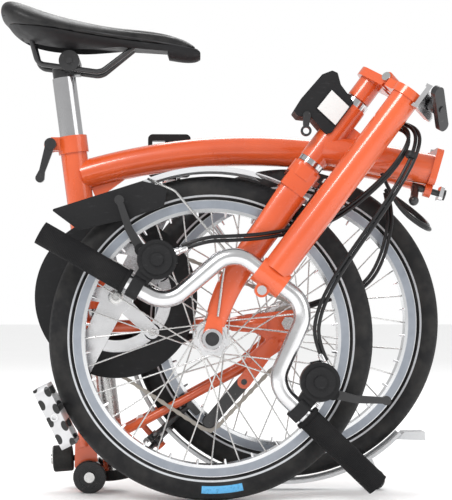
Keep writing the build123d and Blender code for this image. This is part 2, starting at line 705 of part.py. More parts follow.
STAY_Y = 33.0
DROPOUT_Y = 50.2
BRIDGE = Vector(-116, 0, 94)
TENSIONER = Vector(22, 0, 150)
JOCKEY = Vector(-24, 0, 97)


def rear_side(s):
    """Chainstay, seatstay, strut and dropout of one side."""
    def at(x, y, z):
        return Vector(x, s * y, z)

    stay = bent([at(-206, STAY_Y, 222), at(-30, STAY_Y, 226), at(34, 58, 227.5), at(52, 58.5, 228)],
                [70, 30], 8)
    stay += bent([at(74, 53, 203), at(18, 36, 166), at(-110, 31, 97), at(-180, 20, 61)], [60, 90], 6)
    stay += rod(at(-206, STAY_Y, 212), at(-192, 15, 62), 7)
    near, far = (DROPOUT_Y, DROPOUT_Y + 5) if s > 0 else (-DROPOUT_Y - 5, -DROPOUT_Y)
    plate = outline([(2, 233), (30, 239), (60, 243), (86, 246), (98, 232), (94, 212), (80, 198),
                     (50, 178), (28, 171), (24, 182), (52, 206), (40, 215), (4, 218)], 3)
    stay += slab(plate, far, near)
    low, high = (STAY_Y - 3.5, STAY_Y + 3.5) if s > 0 else (-STAY_Y - 3.5, -STAY_Y + 3.5)
    return stay + disc(PIVOT, 13, high, low)


def rear_frame():
    """The rear triangle: both sides, the yoke that carries the rollers and the brake bridge."""
    yoke = outline([(-204, 76), (-176, 76), (-174, 40), (-176, 13), (-192, 13), (-205, 34)], 4)
    frame = slab(yoke, 20, -20) + rear_side(1) + rear_side(-1)
    frame += rod(BRIDGE - NEAR * 33, BRIDGE + NEAR * 33, 7)
    frame += link(Vector(60, 0, 200), 8, TENSIONER, 9, -DROPOUT_Y - 5, -DROPOUT_Y - 9)
    frame += link(Vector(60, 0, 200), 8, Vector(45, 0, 185), 8, -DROPOUT_Y - 4, -DROPOUT_Y - 9)
    frame -= rod(PIVOT - NEAR * 50, PIVOT + NEAR * 50, 5 + PIN_GAP)
    frame -= rod(REAR_AXLE - NEAR * 70, REAR_AXLE + NEAR * 70, 5)
    frame -= rod(REAR_ROLLERS - NEAR * 30, REAR_ROLLERS + NEAR * 30, 4)
    frame -= rod(TENSIONER - NEAR * 30, TENSIONER + NEAR * 70, 4 + PIN_GAP)
    frame -= rod(Vector(-238, 0, 42.6), Vector(-192, 0, 45), 4)
    return frame + brake_stud(REAR_BRAKE, 30)


def roller_axle():
    """The floor rollers' shared axle through the yoke, with a bolt head at each end."""
    axle = rod(REAR_ROLLERS - NEAR * 42, REAR_ROLLERS + NEAR * 42, 4)
    for s in (-1, 1):
        axle += rod(REAR_ROLLERS + NEAR * (s * 41), REAR_ROLLERS + NEAR * (s * 45), 7)
    return axle


def roller(centre, r, y_far, y_near, bore):
    """A rubber-tyred floor roller with dished faces."""
    wheel = disc(centre, r, y_far, y_near, bore + TURN_GAP)
    wheel = chamfer(wheel.edges().filter_by(GeomType.CIRCLE).group_by(SortBy.RADIUS)[-1], 1.5)
    dish = disc(centre, r * 0.66, y_near + 2, y_near - 1, r * 0.4)
    return wheel - dish - disc(centre, r * 0.66, y_far + 1, y_far - 2, r * 0.4)


def yoke_rollers():
    """The two floor rollers, one each side of the yoke."""
    return Compound(children=[roller(REAR_ROLLERS, ROLLER_R, y + 8, y - 8, 4) for y in (-32, 32)])


def rear_axles():
    """The rear wheel's axle and the floor rollers' axle."""
    wheel = wheel_axle(REAR_AXLE, REAR_HUB_HALF, 5, 9.5, 5.4)
    return Compound(children=[wheel, roller_axle()])


def suspension_block():
    """The round rubber block on the back of the yoke, with its centre bolt."""
    start = Vector(-208.2, 0, 45)
    block = rod(start, start + Vector(-27, 0, -2), 18)
    block = fillet(block.edges(), 3)
    bolt = rod(Vector(-238, 0, 42.6), Vector(-192, 0, 45), 4)
    bolt += rod(Vector(-238, 0, 42.6), Vector(-233, 0, 42.9), 7)
    block -= rod(Vector(-240, 0, 42.5), Vector(-200, 0, 44.6), 7.2)
    return Compound(children=[block, bolt])


def guard_band(axle, radius, width, start, span):
    """A mudguard's curved band, with a turned lip at each edge."""
    section = Pos(radius, 0) * Rectangle(1.6, width)
    for s in (-1, 1):
        section += Pos(radius - 2.5, s * (width / 2 - 0.8)) * Rectangle(6.4, 1.6)
    return turned(section, axle, span).rotate(Axis(axle, (0, -1, 0)), start)


def rear_mudguard():
    """The far wheel's guard, its roller bracket and the flexible flap at its end."""
    band = guard_band(REAR_AXLE, 217.5, 40, 196, 120)
    for s in (-1, 1):
        low, high = (10, 13) if s > 0 else (-13, -10)
        band += link(Vector(189, 0, 43), 9, GUARD_ROLLER, 7, high, low)
    flap = slab(outline([(224, 70), (228, 79), (270, 80), (271, 68)], 1), 19, -19)
    flap -= turned(ring_of(0, 60, 0, 219), REAR_AXLE)
    pin = rod(GUARD_ROLLER - NEAR * 15, GUARD_ROLLER + NEAR * 15, 3)
    band -= rod(GUARD_ROLLER - NEAR * 20, GUARD_ROLLER + NEAR * 20, 3)
    band -= turned(ring_of(0, 60, 0, 213.8), REAR_AXLE)
    return Compound(children=[band, flap, pin])


def pump():
    """A slim hand pump clipped under the far chainstay."""
    body = rod((-178, STAY_Y, 204.5), (-60, STAY_Y, 206.5), 8)
    return body + rod((-60, STAY_Y, 206.5), (-40, STAY_Y, 206.9), 6.5)


def tensioner_arm():
    """The sprung chain tensioner: two plates, its pivot and the jockey wheel's pin."""
    arm = link(TENSIONER, 9, JOCKEY, 8, -50.6, -53.6)
    arm += disc(TENSIONER, 4, -40, -58.5)
    arm += disc(JOCKEY, 3, -39, -52)
    return arm + disc(JOCKEY, 8, -38.8, -40.8)


def jockey_wheel():
    wheel = disc(JOCKEY, 9.4, -43.5, -46.5, 3 + TURN_GAP)
    return wheel + disc(JOCKEY, 6, -41.3, -50.2, 3 + TURN_GAP)


# ---------------------------------------------------------------- cranks, chain and pedals


def crank_point(turn, r):
    a = radians(CRANK_ANGLE + turn)
    return BRACKET + Vector(cos(a), 0, sin(a)) * r


def right_crank():
    """The right crank arm with its five-armed spider and the pedal's spindle."""
    end = crank_point(0, CRANK)
    arm = link(BRACKET, 17, end, 12, -54, -65)
    arm += disc(BRACKET, 22, -49, -66)
    for k in range(5):
        arm += link(crank_point(72 * k, 14), 10, crank_point(72 * k, 67), 9, -51.6, -56)
    arm += disc(BRACKET, 8.5, 62, -60) + disc(BRACKET, 11, -65.9, -68.5)
    arm += disc(end, 5, -53, -157)
    return arm - disc(end, 3, -150, -160)


def left_crank():
    end = crank_point(180, CRANK)
    arm = link(BRACKET, 16, end, 12, 65, 54)
    arm += disc(BRACKET, 18, 66, 49)
    arm -= disc(BRACKET, 8.5, 62, 40)
    return arm - disc(end, 5 + TURN_GAP, 70, 40)


def chainring():
    """The toothed ring and the round guard outside it, with the five bolts."""
    ring = Circle(80) - Circle(58)
    ring -= [loc * Circle(3.2) for loc in PolarLocations(81.5, 44)]
    centre = Pos(BRACKET.X, BRACKET.Z)
    solids = slab(centre * ring, -43.5, -46.5)
    for k in range(5):
        at = crank_point(72 * k, 67)
        solids += disc(at, 4, -43.4, -49.2) + disc(at, 6.5, -46.4, -49.2)
    guard = disc(BRACKET, GUARD_R, -49.2, -51.5, 74)
    for k in range(5):
        guard += disc(crank_point(72 * k, 67), 11, -49.2, -51.5)
    bolts = [disc(crank_point(72 * k, 67), 5, -56.1, -58.6) for k in range(1, 5)]
    return Compound(children=[solids + guard, *bolts])


def chain():
    """The chain's loop round ring, sprocket and tensioner, as one closed band."""
    def loop(extra):
        rounds = [(BRACKET, RING_R - 4), (REAR_AXLE, 27), (JOCKEY, 13)]
        edges = [e for c, r in rounds for e in (Pos(c.X, c.Z) * Circle(r + extra)).edges()]
        return make_hull(edges)

    return slab(loop(2.9) - loop(-2.9), CHAIN_Y + 3.4, CHAIN_Y - 3.4)


def right_pedal():
    """A flat cage pedal, bored for its spindle, with two windows each side of the middle."""
    end = crank_point(0, CRANK)
    outward = Vector(-0.896, 0, -0.445)
    frame = Plane(origin=(end.X, -114, end.Z), x_dir=(0.445, 0, -0.896), z_dir=outward)
    body = frame * Box(84, 84, PEDAL_T)
    body = fillet(body.edges().filter_by(Axis((0, 0, 0), outward)), 8)
    for x in (-24, 24):
        body -= frame * Pos(x, 0, 0) * Box(26, 64, 40)
    body += rod((end.X, -72, end.Z), (end.X, -156, end.Z), 9.5)
    return body - rod((end.X, -40, end.Z), (end.X, -200, end.Z), 5 + TURN_GAP)


LEFT_PIN = Vector(crank_point(180, CRANK).X, 76, 424)


def left_pedal_spindle():
    """The folding pedal's block: its spindle in the crank and two lugs for the fold pin."""
    end = crank_point(180, CRANK)
    block = disc(end, 5, 66, 54) + disc(end, 10, 69.5, 65.4)
    for s in (-1, 1):
        x = LEFT_PIN.X + s * 9
        block += Pos(x, 74, 415) * Box(5, 17, 18)
        block += rod((x - 2.5, 76, 424), (x + 2.5, 76, 424), 7)
    pin = rod(LEFT_PIN - Vector(14, 0, 0), LEFT_PIN + Vector(14, 0, 0), 3)
    return block + pin


def left_pedal():
    """The folding pedal's cage, standing against the crank when folded."""
    x, y, z = LEFT_PIN.X, LEFT_PIN.Y, LEFT_PIN.Z
    body = Pos(x - 4, y, z + 38) * Box(60, 18, 60)
    body = fillet(body.edges().filter_by(Axis.Y), 7)
    for dx in (-15, 15):
        body -= Pos(x - 4 + dx, y, z + 38) * Box(18, 30, 42)
    body += Pos(x, y, z + 5) * Box(12, 12, 10)
    body += rod((x - 6, y, z), (x + 6, y, z), 6)
    return body - rod((x - 30, y, z), (x + 30, y, z), 3 + PIN_GAP)


# ---------------------------------------------------------------- cables

CABLE_R = 2.4


def cable(points):
    """A cable's tube: straight runs joined by arcs as large as the runs allow."""
    radii = []
    for a, b, c in zip(points, points[1:], points[2:]):
        turn = radians((b - a).get_angle(c - b))
        shorter = min((b - a).length, (c - b).length)
        radii.append(0.45 * shorter / max(sin(turn / 2) / cos(turn / 2), 1e-3))
    print("cable radii", [round(r) for r in radii])
    return bent(points, radii, CABLE_R)


RIGHT_CABLE = [(116, -172, 184), (104, -176, 210), (107, -180, 242), (124, -184, 280), (150, -188, 320),
               (182, -192, 365), (210, -193, 408), (230, -186, 446), (236, -166, 472), (222, -149, 486),
               (198, -144, 490)]
LEFT_CABLE = [(-62, -170, 322), (-34, -172, 333), (-2, -172, 334), (32, -169, 336), (64, -159, 341),
              (98, -147, 348), (134, -150, 361), (168, -164, 386), (200, -176, 416), (220, -178, 444),
              (228, -166, 466), (216, -150, 479), (194, -145, 481)]
FRAME_CABLE = [(196, -133, 422), (205, -137, 400), (220, -134, 378), (242, -122, 362), (260, -103, 355),
               (265, -80, 358), (258, -58, 370), (240, -38, 388), (214, -28, 408)]
REAR_CABLE = [(214, -28, 404), (219, -34, 376), (214, -40, 346), (205, -46, 316), (190, -50, 288),
              (164, -54, 268), (130, -60, 262), (100, -62, 250)]


def paired(route, gap):
    """Two cables side by side along one route."""
    corners = [Vector(*point) for point in route]
    return [cable(corners), cable([corner + gap for corner in corners])]


def bar_cables():
    """The brake and gear cables from both ends of the bar."""
    runs = [*paired(RIGHT_CABLE, Vector(5.2, 0, -1)), *paired(LEFT_CABLE, Vector(0, -1, 5.2))]
    return Compound(children=runs)


def frame_cables():
    """The cables that loop past the main hinge and run on to the rear wheel."""
    loops = [*paired(FRAME_CABLE, Vector(2, -2, -5)), *paired(REAR_CABLE, Vector(5, 0, -2))]
    return Compound(children=loops)


# ---------------------------------------------------------------- every piece, by its name

PIECES = {
    "main_frame": main_frame,
    "bottom_bracket_cups": bottom_bracket_cups,
    "seat_clamp": seat_clamp,
    "seat_clamp_lever": seat_clamp_lever,
    "frame_pins": frame_pins,
    "seatpost": seatpost,
    "seatpost_lower": seatpost_lower,
    "saddle_clamp": saddle_clamp,
    "saddle_rails": saddle_rails,
    "saddle_base": saddle_base,
    "saddle_cover": saddle_cover,
    "front_frame": front_frame,
    "headset_cups": headset_cups,
    "carrier_block": carrier_block,
    "carrier_lever": carrier_lever,
    "hinge_clamp_plate": hinge_clamp_plate,
    "hinge_clamp_lever": hinge_clamp_lever,
    "fork": fork,
    "front_axle": front_axle,
    "front_mudguard": front_mudguard,
    "front_brake_arm_near": lambda: brake_arm(FRONT_BRAKE, -1),
    "front_brake_arm_far": lambda: brake_arm(FRONT_BRAKE, 1),
    "front_tyre": lambda: tyre(FRONT_AXLE),
    "front_rim": lambda: rim(FRONT_AXLE),
    "front_spokes": lambda: spokes(FRONT_AXLE, 34, 24),
    "front_hub": lambda: hub(FRONT_AXLE, 34, 24, 14, 4.5),
    "stem_base": stem_base,
    "stem_hinge_pin": stem_hinge_pin,
    "handlepost": handlepost,
    "handlebar": handlebar,
    "grips": lambda: Compound(children=[grip(-1), grip(1)]),
    "lever_brackets": lambda: Compound(children=[lever_bracket(-1), lever_bracket(1)]),
    "stem_clamp_plate": stem_clamp_plate,
    "stem_clamp_lever": stem_clamp_lever,
    "left_brake_lever": lambda: brake_lever(-1),
    "right_brake_lever": lambda: brake_lever(1),
    "rear_frame": rear_frame,
    "rear_axles": rear_axles,
    "suspension_block": suspension_block,
    "rear_mudguard": rear_mudguard,
    "pump": pump,
    "rear_brake_arm_near": lambda: brake_arm(REAR_BRAKE, -1),
    "rear_brake_arm_far": lambda: brake_arm(REAR_BRAKE, 1),
    "rear_tyre": lambda: tyre(REAR_AXLE),
    "rear_rim": lambda: rim(REAR_AXLE),
    "rear_spokes": lambda: spokes(REAR_AXLE, 41, 30),
    "rear_hub": lambda: rear_hub(),
    "yoke_rollers": yoke_rollers,
    "guard_roller": lambda: roller(GUARD_ROLLER, GUARD_ROLLER_R, 8.5, -8.5, 3),
    "tensioner_arm": tensioner_arm,
    "jockey_wheel": jockey_wheel,
    "right_crank": right_crank,
    "left_crank": left_crank,
    "chainring": chainring,
    "chain": chain,
    "right_pedal": right_pedal,
    "left_pedal_spindle": left_pedal_spindle,
    "left_pedal": left_pedal,
    "bar_cables": bar_cables,
    "frame_cables": frame_cables,
}

os.makedirs("parts", exist_ok=True)
place = Location(ORIGIN_SHIFT)
for name, make in PIECES.items():
    piece = Compound([solid.moved(place) for solid in make().solids()])
    piece.label = name
    export_step(piece, f"parts/{name}.step")
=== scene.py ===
import math

import bpy
from mathutils import Matrix, Vector


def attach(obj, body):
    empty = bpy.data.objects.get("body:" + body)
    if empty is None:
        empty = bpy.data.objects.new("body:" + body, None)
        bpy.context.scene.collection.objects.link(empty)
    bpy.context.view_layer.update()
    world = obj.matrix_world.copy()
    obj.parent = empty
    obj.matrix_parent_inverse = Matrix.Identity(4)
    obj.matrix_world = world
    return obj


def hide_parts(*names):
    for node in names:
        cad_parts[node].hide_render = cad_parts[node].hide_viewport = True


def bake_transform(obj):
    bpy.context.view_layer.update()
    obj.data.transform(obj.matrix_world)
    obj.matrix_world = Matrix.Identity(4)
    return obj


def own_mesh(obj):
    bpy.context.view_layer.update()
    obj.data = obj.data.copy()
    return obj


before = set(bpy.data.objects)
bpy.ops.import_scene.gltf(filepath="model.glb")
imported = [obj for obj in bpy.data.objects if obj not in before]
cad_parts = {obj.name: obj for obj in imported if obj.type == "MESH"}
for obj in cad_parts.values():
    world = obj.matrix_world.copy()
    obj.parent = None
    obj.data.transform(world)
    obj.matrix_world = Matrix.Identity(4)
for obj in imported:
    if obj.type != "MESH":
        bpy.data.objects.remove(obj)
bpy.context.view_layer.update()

# The row frame's origin, seen from the frame that part.py draws in, in millimetres.
SHIFT = Vector((6.25, 69.777, 0.0))
MM = 0.001


def row(x, y, z):
    """A point of part.py's drawing frame, in metres of the row frame."""
    return (Vector((x, y, z)) + SHIFT) * MM


FRONT_AXLE = row(-23, -115, 209.5)
REAR_AXLE = row(81, 0, 228)
BRACKET = row(-148, 0, 263)
JOCKEY = row(-24, 0, 97)
TYRE_RING = 0.192
TYRE_R = 0.0175
SPOKES = 28
LINK_PITCH = 0.0127
RING_BOLTS_R = 0.067
CRANK_ANGLE = -116.1


# ------------------------------------------------------------ materials

class Shader:
    """A material being built: a Principled shader and short ways to feed it."""

    def __init__(self, name):
        self.material = bpy.data.materials.new(name)
        self.material.use_nodes = True
        self.tree = self.material.node_tree
        self.main = self.tree.nodes["Principled BSDF"]
        self.at = self.add("ShaderNodeTexCoord").outputs["Object"]

    def add(self, kind, **values):
        made = self.tree.nodes.new(kind)
        for key, value in values.items():
            setattr(made, key, value)
        return made

    def feed(self, socket, value):
        """Gives a socket either another socket's output or a plain value."""
        if isinstance(value, bpy.types.NodeSocket):
            self.tree.links.new(value, socket)
        else:
            socket.default_value = value

    def maths(self, operation, a, b=0.0):
        made = self.add("ShaderNodeMath", operation=operation)
        self.feed(made.inputs[0], a)
        self.feed(made.inputs[1], b)
        return made.outputs[0]

    def noise(self, scale, detail=3.0, stretch=(1, 1, 1), rough=0.55):
        mapping = self.add("ShaderNodeMapping")
        self.feed(mapping.inputs["Vector"], self.at)
        self.feed(mapping.inputs["Scale"], stretch)
        made = self.add("ShaderNodeTexNoise")
        self.feed(made.inputs["Vector"], mapping.outputs[0])
        self.feed(made.inputs["Scale"], scale)
        self.feed(made.inputs["Detail"], detail)
        self.feed(made.inputs["Roughness"], rough)
        return made.outputs["Fac"]

    def cells(self, scale, feature="F1"):
        made = self.add("ShaderNodeTexVoronoi", feature=feature)
        self.feed(made.inputs["Vector"], self.at)
        self.feed(made.inputs["Scale"], scale)
        return made.outputs["Distance"]

    def spread(self, value, low, high, out_low=0.0, out_high=1.0):
        """The value, mapped from low..high to out_low..out_high and held at both ends."""
        made = self.add("ShaderNodeMapRange")
        self.feed(made.inputs[0], value)
        for k, number in enumerate((low, high, out_low, out_high)):
            self.feed(made.inputs[k + 1], number)
        return made.outputs[0]

    def mix(self, amount, a, b):
        made = self.add("ShaderNodeMix", data_type="RGBA")
        self.feed(made.inputs[0], amount)
        self.feed(made.inputs[6], a)
        self.feed(made.inputs[7], b)
        return made.outputs[2]

    def bump(self, height, strength, distance=0.0004):
        made = self.add("ShaderNodeBump")
        self.feed(made.inputs["Height"], height)
        self.feed(made.inputs["Strength"], strength)
        self.feed(made.inputs["Distance"], distance)
        self.feed(self.main.inputs["Normal"], made.outputs[0])

    def from_axle(self, axle):
        """The x and z offsets from a wheel's axle, the distance from it, and y."""
        split = self.add("ShaderNodeSeparateXYZ")
        self.feed(split.inputs[0], self.at)
        x = self.maths("SUBTRACT", split.outputs[0], axle.x)
        z = self.maths("SUBTRACT", split.outputs[2], axle.z)
        squares = self.maths("ADD", self.maths("MULTIPLY", x, x), self.maths("MULTIPLY", z, z))
        return x, z, self.maths("SQRT", squares), split.outputs[1]

    def along(self, axis):
        """How far the point lies along a direction."""
        dot = self.add("ShaderNodeVectorMath", operation="DOT_PRODUCT")
        self.feed(dot.inputs[0], self.at)
        self.feed(dot.inputs[1], axis)
        return dot.outputs["Value"]

    def finish(self, colour, rough, metal=0.0, coat=0.0, sheen=0.0, shine=0.5):
        self.feed(self.main.inputs["Base Color"], colour)
        self.feed(self.main.inputs["Roughness"], rough)
        self.feed(self.main.inputs["Metallic"], metal)
        self.feed(self.main.inputs["Coat Weight"], coat)
        self.feed(self.main.inputs["Coat Roughness"], 0.06)
        self.feed(self.main.inputs["Specular IOR Level"], shine)
        self.feed(self.main.inputs["Sheen Weight"], sheen)
        return self.material


def rgb(r, g, b):
    """A linear colour with full opacity."""
    return (r, g, b, 1.0)


def enamel(name, colour, deep, rough=0.3, coat=0.8):
    """Glossy enamel: slow colour drift, orange peel and specks of dust."""
    s = Shader(name)
    drift = s.spread(s.noise(7, 4), 0.35, 0.65)
    base = s.mix(drift, colour, deep)
    dust = s.spread(s.noise(260, 2), 0.66, 0.8, 0.0, 0.16)
    base = s.mix(dust, base, rgb(0.55, 0.5, 0.45))
    s.bump(s.noise(420, 2), 0.05)
    return s.finish(base, s.spread(s.noise(30, 4), 0.3, 0.7, rough - 0.06, rough + 0.08), 0.0, coat)


def metal(name, colour, dark, rough, stretch=(1, 1, 1), scale=220.0, bump=0.08):
    """Bare metal: drawn or turned streaks, stains and uneven polish."""
    s = Shader(name)
    streak = s.noise(scale, 5, stretch, 0.7)
    stain = s.spread(s.noise(24, 5), 0.45, 0.75, 0.0, 0.4)
    base = s.mix(stain, colour, dark)
    base = s.mix(s.spread(streak, 0.35, 0.7, 0.0, 0.12), base, dark)
    s.bump(streak, bump * 0.4, 0.00015)
    return s.finish(base, s.spread(streak, 0.3, 0.7, rough - 0.04, rough + 0.06), 1.0)


def plastic(name, colour, light, rough=0.5, grain=900.0, bump=0.25, coat=0.0):
    """Moulded plastic: fine spark-eroded grain and faint scuffs."""
    s = Shader(name)
    scuff = s.spread(s.noise(55, 6, (1, 1, 3), 0.75), 0.56, 0.8, 0.0, 0.5)
    base = s.mix(scuff, colour, light)
    s.bump(s.cells(grain), bump, 0.00015)
    return s.finish(base, s.spread(s.noise(80, 4), 0.3, 0.7, rough - 0.08, rough + 0.1), 0.0, coat, 0.0, 0.25)


def rubber(name, colour, light, grain, bump, rough=0.78):
    """Foam or moulded rubber: open pores and a dusty bloom."""
    s = Shader(name)
    bloom = s.spread(s.noise(18, 5), 0.4, 0.75, 0.0, 0.7)
    pores = s.cells(grain)
    base = s.mix(bloom, colour, light)
    s.bump(s.maths("ADD", pores, s.noise(grain * 0.4, 3)), bump, 0.0003)
    return s.finish(base, s.spread(pores, 0.0, 0.6, rough - 0.1, rough + 0.12), 0.0, 0.0, 0.05, 0.2)


def leather(name):
    """Black synthetic leather: pebbled grain with creases and a soft shine."""
    s = Shader(name)
    pebble = s.cells(620, "SMOOTH_F1")
    crease = s.noise(46, 6, (1, 1, 1), 0.7)
    base = s.mix(s.spread(crease, 0.35, 0.7), rgb(0.008, 0.008, 0.009), rgb(0.028, 0.027, 0.026))
    s.bump(s.maths("ADD", pebble, s.maths("MULTIPLY", crease, 1.6)), 0.4, 0.0004)
    return s.finish(base, s.spread(crease, 0.3, 0.7, 0.36, 0.55), 0.0, 0.04, 0.0, 0.3)


def tyre_rubber(name, axle, band):
    """Tyre rubber with a grey reflective ring on each wall, and a blue band where band gives its angle."""
    reflective_r, band_r = 0.1835, 0.1945
    s = Shader(name)
    x, z, radius, y = s.from_axle(axle)
    off = s.maths("ABSOLUTE", s.maths("SUBTRACT", radius, reflective_r))
    ring = s.spread(off, 0.001, 0.0014, 1.0, 0.0)
    dust = s.spread(s.noise(40, 6), 0.42, 0.72, 0.0, 0.6)
    base = s.mix(dust, rgb(0.012, 0.012, 0.013), rgb(0.05, 0.048, 0.045))
    base = s.mix(ring, base, s.mix(s.noise(700, 1), rgb(0.38, 0.4, 0.42), rgb(0.62, 0.63, 0.65)))
    if band:
        turn = s.maths("ARCTAN2", x, s.maths("MULTIPLY", z, -1.0))
        along = s.spread(s.maths("ABSOLUTE", s.maths("SUBTRACT", turn, band)), 0.135, 0.138, 1.0, 0.0)
        across = s.spread(s.maths("ABSOLUTE", s.maths("SUBTRACT", radius, band_r)), 0.0046, 0.0052, 1.0, 0.0)
        near = s.spread(y, axle.y - 0.004, axle.y - 0.0035, 1.0, 0.0)
        patch = s.maths("MULTIPLY", s.maths("MULTIPLY", along, across), near)
        blue = s.mix(s.noise(160, 3), rgb(0.07, 0.33, 0.62), rgb(0.16, 0.46, 0.74))
        worn = s.spread(s.noise(300, 4), 0.25, 0.45, 0.55, 1.0)
        base = s.mix(s.maths("MULTIPLY", patch, worn), base, blue)
    s.bump(s.maths("ADD", s.noise(900, 3), s.cells(500)), 0.22, 0.0002)
    return s.finish(base, s.spread(dust, 0.0, 0.6, 0.55, 0.8), shine=0.2)


def rim_metal(name, axle):
    """A rim's alloy: a blue-grey machined brake track, and a bright polished well inside it."""
    s = Shader(name)
    radius = s.from_axle(axle)[2]
    track = s.maths("MULTIPLY", s.spread(radius, 0.1668, 0.1676), s.spread(radius, 0.1772, 0.178, 1.0, 0.0))
    rings = s.maths("SINE", s.maths("MULTIPLY", radius, 14000.0))
    stain = s.spread(s.noise(28, 5), 0.4, 0.75, 0.0, 0.5)
    base = s.mix(stain, rgb(0.86, 0.87, 0.88), rgb(0.62, 0.63, 0.65))
    base = s.mix(track, base, s.mix(s.noise(60, 4), rgb(0.3, 0.33, 0.38), rgb(0.46, 0.49, 0.54)))
    s.bump(s.maths("MULTIPLY", rings, track), 0.12, 0.0001)
    return s.finish(base, s.spread(track, 0.0, 1.0, 0.2, 0.4), 1.0)


def ribbed_foam(name, axis, pitch=0.0021):
    """Grip foam with fine ribs round it, one pitch apart along its axis, with painted shade in the troughs
    between them.
    """
    s = Shader(name)
    ribs = s.maths("SINE", s.maths("MULTIPLY", s.along(axis), 2 * math.pi / pitch))
    bloom = s.spread(s.noise(20, 5), 0.42, 0.75, 0.0, 0.7)
    base = s.mix(bloom, rgb(0.009, 0.009, 0.01), rgb(0.026, 0.025, 0.025))
    # Painted shade: the troughs between the ribs are darkened towards near-black
    base = s.mix(s.spread(ribs, -0.2, -0.9, 0.0, 0.6), base, rgb(0.003, 0.003, 0.003))
    s.bump(s.maths("ADD", ribs, s.cells(900)), 0.5, 0.00035)
    return s.finish(base, 0.82, shine=0.2)


def pedal_cage(name):
    """Pale cage alloy with rows of staggered recesses, coloured near-black as painted shade."""
    s = Shader(name)
    column_pitch, row_pitch = 0.024, 0.0145
    columns = s.maths("DIVIDE", s.along((0.445, 0.0, -0.896)), column_pitch)
    rows = s.maths("DIVIDE", s.along((0.896, 0.0, 0.445)), row_pitch)
    staggered = s.maths("ADD", columns, s.maths("MULTIPLY", s.maths("FLOOR", rows), 0.5))
    u = s.maths("SUBTRACT", s.maths("FRACT", staggered), 0.5)
    v = s.maths("SUBTRACT", s.maths("FRACT", rows), 0.5)
    far = s.maths("SQRT", s.maths("ADD", s.maths("MULTIPLY", u, u), s.maths("MULTIPLY", v, v)))
    # Mask of the staggered recesses: it drives the recess bump and the painted shade below
    recess_with_painted_shade = s.spread(far, 0.27, 0.3, 1.0, 0.0)
    stain = s.spread(s.noise(60, 5), 0.4, 0.75, 0.0, 0.5)
    # Painted shade: the recesses are coloured near-black where their shade would fall
    base = s.mix(recess_with_painted_shade, s.mix(stain, rgb(0.6, 0.6, 0.61), rgb(0.4, 0.4, 0.41)), rgb(0.01, 0.01, 0.01))
    s.bump(recess_with_painted_shade, 0.6, -0.001)
    return s.finish(base, 0.35, 0.0, 0.2)


ORANGE = enamel("orange_enamel", rgb(0.7, 0.105, 0.022), rgb(0.6, 0.078, 0.015))
STEEL = metal("plated_steel", rgb(0.72, 0.72, 0.71), rgb(0.4, 0.39, 0.38), 0.26)
ALLOY = metal("polished_alloy", rgb(0.83, 0.83, 0.84), rgb(0.56, 0.56, 0.57), 0.22, (1, 1, 1), 160)
CHROME = metal("chrome", rgb(0.66, 0.66, 0.67), rgb(0.4, 0.4, 0.41), 0.12, (1, 1, 0.2), 60, 0.02)
CHAIN_STEEL = metal("oiled_steel", rgb(0.4, 0.37, 0.33), rgb(0.1, 0.085, 0.07), 0.36, (1, 1, 1), 400)
BLACK_PAINT = enamel("black_enamel", rgb(0.012, 0.012, 0.013), rgb(0.022, 0.022, 0.023), 0.34, 0.35)
BLACK_PLASTIC = plastic("black_moulding", rgb(0.012, 0.012, 0.013), rgb(0.06, 0.06, 0.062))
GLOSS_PLASTIC = plastic("black_gloss", rgb(0.01, 0.01, 0.011), rgb(0.04, 0.04, 0.042), 0.26, 400, 0.06, 0.3)
HOUSING = plastic("cable_housing", rgb(0.01, 0.01, 0.011), rgb(0.05, 0.05, 0.05), 0.34, 1600, 0.12, 0.2)
GUARD = plastic("guard_laminate", rgb(0.56, 0.57, 0.58), rgb(0.4, 0.4, 0.4), 0.26, 240, 0.05, 0.45)
LABEL = plastic("white_label", rgb(0.68, 0.68, 0.67), rgb(0.54, 0.54, 0.53), 0.38, 500, 0.08)
LEFT_FOAM = ribbed_foam("left_grip_foam", (0.882, 0.0, -0.47))
RIGHT_FOAM = ribbed_foam("right_grip_foam", (0.699, 0.0, -0.715))
BLOCK_RUBBER = rubber("block_rubber", rgb(0.012, 0.012, 0.012), rgb(0.04, 0.039, 0.037), 300, 0.3)
SADDLE_SKIN = leather("saddle_leather")
THREAD = rubber("seam_thread", rgb(0.03, 0.03, 0.032), rgb(0.09, 0.09, 0.09), 1500, 0.5)

FINISHES = {
    ORANGE: "main_frame front_frame fork rear_frame handlepost stem_base seat_clamp",
    CHROME: "seatpost headset_cups",
    pedal_cage("pedal_cage"): "right_pedal",
    STEEL: "frame_pins stem_hinge_pin front_axle rear_axles front_spokes rear_spokes",
    ALLOY: "handlebar front_hub rear_hub right_crank left_crank hinge_clamp_plate bottom_bracket_cups "
           "left_pedal_spindle stem_clamp_plate",
    rim_metal("front_rim_alloy", FRONT_AXLE): "front_rim",
    rim_metal("rear_rim_alloy", REAR_AXLE): "rear_rim",
    BLACK_PAINT: "saddle_rails seat_clamp_lever saddle_clamp stem_clamp_lever "
                 "hinge_clamp_lever left_brake_lever right_brake_lever tensioner_arm carrier_lever "
                 "front_brake_arm_near front_brake_arm_far rear_brake_arm_near rear_brake_arm_far",
    BLACK_PLASTIC: "saddle_base carrier_block lever_brackets chainring left_pedal pump",
    GLOSS_PLASTIC: "jockey_wheel yoke_rollers guard_roller",
    GUARD: "front_mudguard rear_mudguard",
    BLOCK_RUBBER: "suspension_block",
    LEFT_FOAM: "grips",
}


def dress(node, finish):
    """Gives a carried CAD node its finish, smooth across gentle edges."""
    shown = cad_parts[node]
    shown.data.materials.clear()
    shown.data.materials.append(finish)
    smooth(shown, 32)


